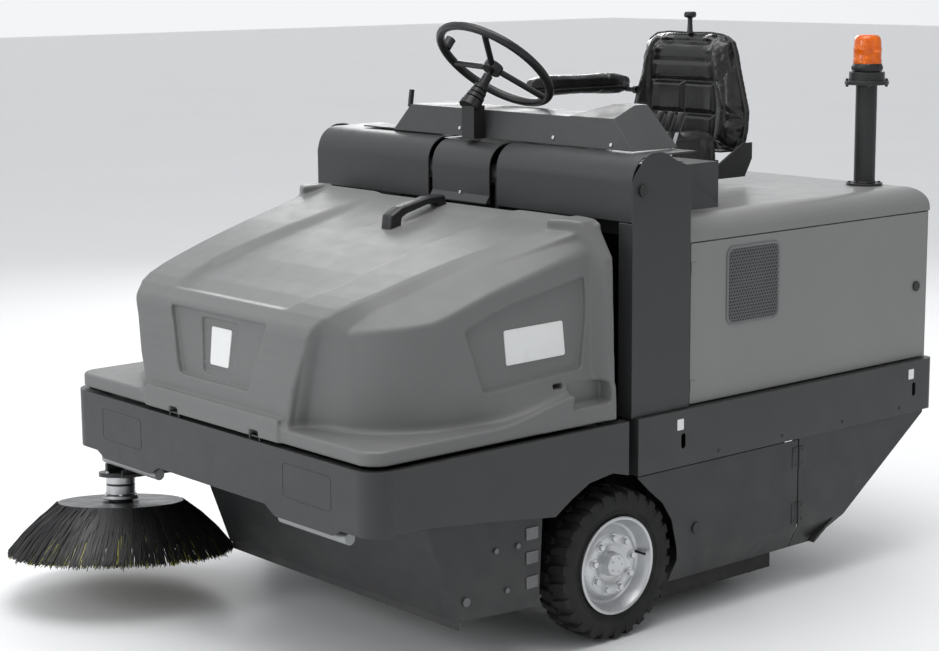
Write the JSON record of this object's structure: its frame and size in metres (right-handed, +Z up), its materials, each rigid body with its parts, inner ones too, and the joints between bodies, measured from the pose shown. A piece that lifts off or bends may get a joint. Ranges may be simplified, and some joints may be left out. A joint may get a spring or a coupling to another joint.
{
  "type": "ride-on sweeper",
  "caption": "Ride-on floor sweeper with a high-lift debris hopper, hinged hood, side brush, main brush, steered rear wheel and driver's seat.",
  "frame": {"origin": "bottom centre of the part's box, on the floor", "axes": "+Z up; -Y the way it drives; +X the machine's left"},
  "size_m": [1.7886, 2.7295, 1.8419],
  "materials": {
    "anthracite_paint": "fine texture powder coat",
    "light_grey_paint": "satin paint",
    "grey_moulding": "fine grained rotomoulded plastic",
    "black_steel": "satin black",
    "black_plastic": "fine grain",
    "tyre_rubber": "moulded tread",
    "skirt_rubber": "flat",
    "zinc": "bright zinc",
    "chrome": "polished",
    "seat_vinyl": "grained vinyl",
    "amber": "ribbed lens",
    "engine_alloy": "cast",
    "bristle": "stiff bristles",
    "filter_media": "pleated"
  },
  "bodies": {
    "chassis": {"main_frame": "black_steel", "rear_band": "anthracite_paint", "lower_panel_left": "anthracite_paint", "lower_panel_right": "anthracite_paint", "column_left": "anthracite_paint", "column_right": "anthracite_paint", "cross_covers": "anthracite_paint", "console_cowl": "anthracite_paint", "instrument_panel": "black_plastic", "steering_column": "black_plastic", "footwell_tub": "anthracite_paint", "rear_hood": "light_grey_paint", "engine_and_hydraulics": "engine_alloy", "fuel_and_oil_tanks": "black_plastic", "battery": "black_plastic", "beacon_pole": "black_plastic", "beacon_lens": "amber", "wheel_motors": "zinc", "rubber_skirts": "skirt_rubber", "brush_housing": "black_steel"},
    "front_wheel_left": {"tyre_front_left": "tyre_rubber", "rim_front_left": "zinc"},
    "front_wheel_right": {"tyre_front_right": "tyre_rubber", "rim_front_right": "zinc"},
    "rear_fork": {"rear_fork": "black_steel"},
    "rear_wheel": {"rear_wheel": "tyre_rubber"},
    "steering_wheel": {"steering_wheel": "black_plastic"},
    "main_brush_frame": {"brush_frame": "black_steel"},
    "main_brush": {"main_brush": "bristle"},
    "lift_arms": {"lift_arms": "black_steel"},
    "parallel_links": {"parallel_links": "black_steel"},
    "hopper": {"bumper_band": "anthracite_paint", "bumper_bars": "zinc", "hopper_body": "black_steel", "hopper_bolts": "chrome", "dust_filter": "filter_media"},
    "hopper_flap": {"hopper_flap": "black_steel"},
    "front_hood": {"front_hood": "grey_moulding", "hood_handle": "black_plastic"},
    "side_brush_arm": {"side_brush_arm": "black_steel"},
    "side_brush": {"side_brush_disc": "black_plastic", "side_brush_bristles": "bristle"},
    "engine_door_left": {"engine_door_left": "light_grey_paint"},
    "engine_door_right": {"engine_door_right": "light_grey_paint"},
    "door_lock_left": {"door_lock_left": "black_plastic"},
    "door_lock_right": {"door_lock_right": "black_plastic"},
    "brush_door_left": {"brush_door_left": "anthracite_paint"},
    "brush_door_right": {"brush_door_right": "anthracite_paint"},
    "brush_door_latch_left": {"brush_door_latch_left": "black_plastic"},
    "brush_door_latch_right": {"brush_door_latch_right": "black_plastic"},
    "seat": {"seat_base": "black_plastic", "seat_cushion": "seat_vinyl"},
    "seat_backrest": {"seat_backrest": "seat_vinyl"},
    "armrest": {"armrest": "seat_vinyl"},
    "lever_hopper_lift": {"lever_hopper_lift": "chrome"},
    "lever_hopper_flap": {"lever_hopper_flap": "chrome"},
    "lever_brush_lift": {"lever_brush_lift": "chrome"},
    "side_lever": {"side_lever": "black_plastic"},
    "drive_pedal": {"drive_pedal": "black_plastic"},
    "brake_pedal": {"brake_pedal": "black_plastic"}
  },
  "joints": [
    {"name": "lift", "type": "hinge", "parent": "chassis", "child": "lift_arms", "pos_m": [0.10612, -0.04523, 1.354], "axis": [-1, 0, 0], "range_deg": [0, 130]},
    {"name": "hopper_level", "type": "hinge", "parent": "lift_arms", "child": "hopper", "pos_m": [0.10612, -0.04523, 0.69], "axis": [-1, 0, 0], "range_deg": [-130, 0]},
    {"name": "parallel_link", "type": "hinge", "parent": "chassis", "child": "parallel_links", "pos_m": [0.10612, -0.04523, 1.124], "axis": [-1, 0, 0], "range_deg": [0, 130]},
    {"name": "hopper_flap_hinge", "type": "hinge", "parent": "hopper", "child": "hopper_flap", "pos_m": [0.17611, -0.14023, 0.404], "axis": [-1, 0, 0], "range_deg": [0, 75]},
    {"name": "front_hood_hinge", "type": "hinge", "parent": "hopper", "child": "front_hood", "pos_m": [0.12612, -1.06523, 0.684], "axis": [1, 0, 0], "range_deg": [0, 75]},
    {"name": "side_brush_lift", "type": "hinge", "parent": "hopper", "child": "side_brush_arm", "pos_m": [-0.42389, -0.55724, 0.43], "axis": [1, 0, 0], "range_deg": [0, 9], "stiffness_Nm_per_rad": 330, "springref_deg": -20.63},
    {"name": "side_brush_spin", "type": "hinge", "parent": "side_brush_arm", "child": "side_brush", "pos_m": [-0.55188, -0.98723, 0.31], "axis": [-0.1064, 0.0924, 0.99], "continuous": true},
    {"name": "front_wheel_left_spin", "type": "hinge", "parent": "chassis", "child": "front_wheel_left", "pos_m": [0.81312, -0.13923, 0.2325], "axis": [1, 0, 0], "continuous": true},
    {"name": "front_wheel_right_spin", "type": "hinge", "parent": "chassis", "child": "front_wheel_right", "pos_m": [-0.60089, -0.13923, 0.2325], "axis": [1, 0, 0], "continuous": true},
    {"name": "rear_steer", "type": "hinge", "parent": "chassis", "child": "rear_fork", "pos_m": [0.10612, 0.96276, 0.5], "axis": [0, 0, 1], "range_deg": [-75, 75]},
    {"name": "rear_wheel_spin", "type": "hinge", "parent": "rear_fork", "child": "rear_wheel", "pos_m": [0.10612, 0.96276, 0.2325], "axis": [1, 0, 0], "continuous": true},
    {"name": "steering", "type": "hinge", "parent": "chassis", "child": "steering_wheel", "pos_m": [0.10612, 0.05677, 1.692], "axis": [0, 0.6414, 0.7672], "range_deg": [-750, 750]},
    {"name": "main_brush_lift", "type": "hinge", "parent": "chassis", "child": "main_brush_frame", "pos_m": [0.10612, 0.56276, 0.31], "axis": [1, 0, 0], "range_deg": [0, 6.5]},
    {"name": "main_brush_spin", "type": "hinge", "parent": "main_brush_frame", "child": "main_brush", "pos_m": [0.10612, 0.36277, 0.205], "axis": [1, 0, 0], "continuous": true},
    {"name": "engine_door_left_hinge", "type": "hinge", "parent": "chassis", "child": "engine_door_left", "pos_m": [0.87011, 0.17077, 0.925], "axis": [0, 0, -1], "range_deg": [0, 95]},
    {"name": "engine_door_right_hinge", "type": "hinge", "parent": "chassis", "child": "engine_door_right", "pos_m": [-0.65789, 0.57076, 0.925], "axis": [0, 0, 1], "range_deg": [0, 95]},
    {"name": "door_lock_left_turn", "type": "hinge", "parent": "engine_door_left", "child": "door_lock_left", "pos_m": [0.86311, 1.28476, 0.925], "axis": [1, 0, 0], "range_deg": [0, 90]},
    {"name": "door_lock_right_turn", "type": "hinge", "parent": "engine_door_right", "child": "door_lock_right", "pos_m": [-0.65089, 1.28476, 0.925], "axis": [-1, 0, 0], "range_deg": [0, 90]},
    {"name": "brush_door_left_hinge", "type": "hinge", "parent": "chassis", "child": "brush_door_left", "pos_m": [0.89011, 0.66926, 0.3], "axis": [0, 0, 1], "range_deg": [0, 100]},
    {"name": "brush_door_right_hinge", "type": "hinge", "parent": "chassis", "child": "brush_door_right", "pos_m": [-0.67788, 0.66926, 0.3], "axis": [0, 0, -1], "range_deg": [0, 100]},
    {"name": "brush_door_latch_left_turn", "type": "hinge", "parent": "brush_door_left", "child": "brush_door_latch_left", "pos_m": [0.88611, 0.18876, 0.29], "axis": [1, 0, 0], "range_deg": [0, 90]},
    {"name": "brush_door_latch_right_turn", "type": "hinge", "parent": "brush_door_right", "child": "brush_door_latch_right", "pos_m": [-0.67388, 0.18876, 0.29], "axis": [-1, 0, 0], "range_deg": [0, 90]},
    {"name": "seat_slide", "type": "slide", "parent": "chassis", "child": "seat", "axis": [0, 1, 0], "range_m": [-0.075, 0.075]},
    {"name": "backrest_recline", "type": "hinge", "parent": "seat", "child": "seat_backrest", "pos_m": [0.10612, 0.96276, 1.372], "axis": [-1, 0, 0], "range_deg": [0, 20]},
    {"name": "armrest_lift", "type": "hinge", "parent": "seat_backrest", "child": "armrest", "pos_m": [-0.19889, 0.95276, 1.56], "axis": [-1, 0, 0], "range_deg": [0, 90]},
    {"name": "lever_hopper_lift_tilt", "type": "hinge", "parent": "chassis", "child": "lever_hopper_lift", "pos_m": [0.57612, 0.26277, 1.362], "axis": [1, 0, 0], "range_deg": [-12, 12]},
    {"name": "lever_hopper_flap_tilt", "type": "hinge", "parent": "chassis", "child": "lever_hopper_flap", "pos_m": [0.62111, 0.26277, 1.362], "axis": [1, 0, 0], "range_deg": [-12, 12]},
    {"name": "lever_brush_lift_tilt", "type": "hinge", "parent": "chassis", "child": "lever_brush_lift", "pos_m": [0.66612, 0.26277, 1.362], "axis": [1, 0, 0], "range_deg": [-12, 12]},
    {"name": "side_lever_tilt", "type": "hinge", "parent": "chassis", "child": "side_lever", "pos_m": [-0.34788, 0.06277, 1.476], "axis": [1, 0, 0], "range_deg": [-18, 18]},
    {"name": "drive_pedal_press", "type": "hinge", "parent": "chassis", "child": "drive_pedal", "pos_m": [0.32111, 0.35977, 0.851], "axis": [1, 0, 0], "range_deg": [0, 12], "stiffness_Nm_per_rad": 12, "springref_deg": -8.59},
    {"name": "brake_pedal_press", "type": "hinge", "parent": "chassis", "child": "brake_pedal", "pos_m": [0.02611, 0.35977, 0.851], "axis": [1, 0, 0], "range_deg": [0, 12], "stiffness_Nm_per_rad": 12, "springref_deg": -8.59}
  ],
  "couplings": [
    {"joint": "hopper_level", "follows": "lift", "ratio": -1},
    {"joint": "parallel_link", "follows": "lift", "ratio": 1},
    {"joint": "steering", "follows": "rear_steer", "ratio": -10}
  ]
}
